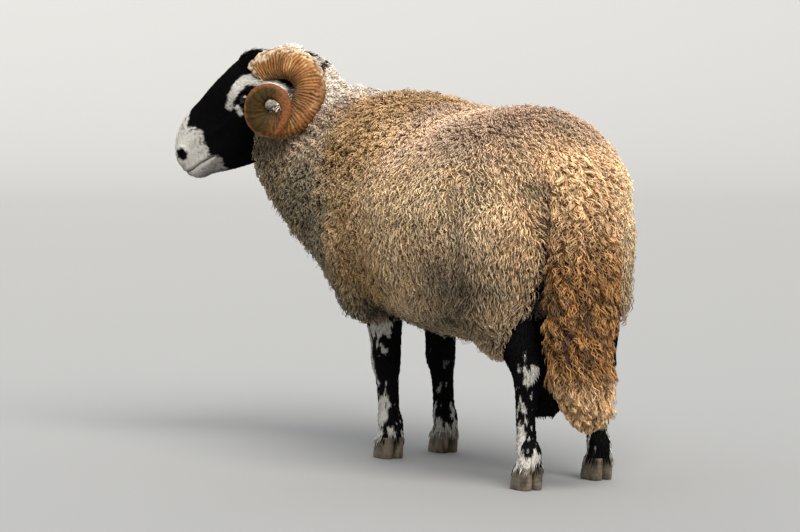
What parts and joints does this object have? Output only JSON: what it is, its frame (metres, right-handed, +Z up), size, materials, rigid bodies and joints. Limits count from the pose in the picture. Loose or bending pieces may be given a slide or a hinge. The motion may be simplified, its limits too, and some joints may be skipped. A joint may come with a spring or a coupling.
{
  "type": "sheep",
  "caption": "Standing horned hill ram at life size: coiled horns, black and white face and legs, deep fleece and a long woolly tail; a still museum model.",
  "frame": {"origin": "on the floor under the middle of the animal's whole box", "axes": "-Y the way the body faces, +X its left side, +Z up"},
  "size_m": [0.5666, 1.167, 0.8767],
  "materials": {
    "fleece": "deep crimped wool, cream to tan, greyer on the neck and browner on the tail",
    "face_hair": "short black hair with a white muzzle and white round the eyes",
    "leg_hair": "short black hair mottled with white",
    "scrotum_hair": "short fine black hair",
    "ear_hair": "short white and grey hair",
    "horn": "ribbed horn, amber to olive brown",
    "hoof": "dull pale horn",
    "eye": "wet amber iris with a level dark pupil"
  },
  "bodies": {
    "root": {"torso": "fleece", "neck": "fleece", "thigh_left": "fleece", "thigh_right": "fleece", "tail": "fleece", "head": "face_hair", "foreleg_left": "leg_hair", "foreleg_right": "leg_hair", "hindleg_left": "leg_hair", "hindleg_right": "leg_hair", "scrotum": "scrotum_hair", "ear_left": "ear_hair", "ear_right": "ear_hair", "horn_left": "horn", "horn_right": "horn", "hoof_fore_left": "hoof", "hoof_fore_right": "hoof", "hoof_hind_left": "hoof", "hoof_hind_right": "hoof", "eye_left": "eye", "eye_right": "eye"}
  },
  "joints": []
}
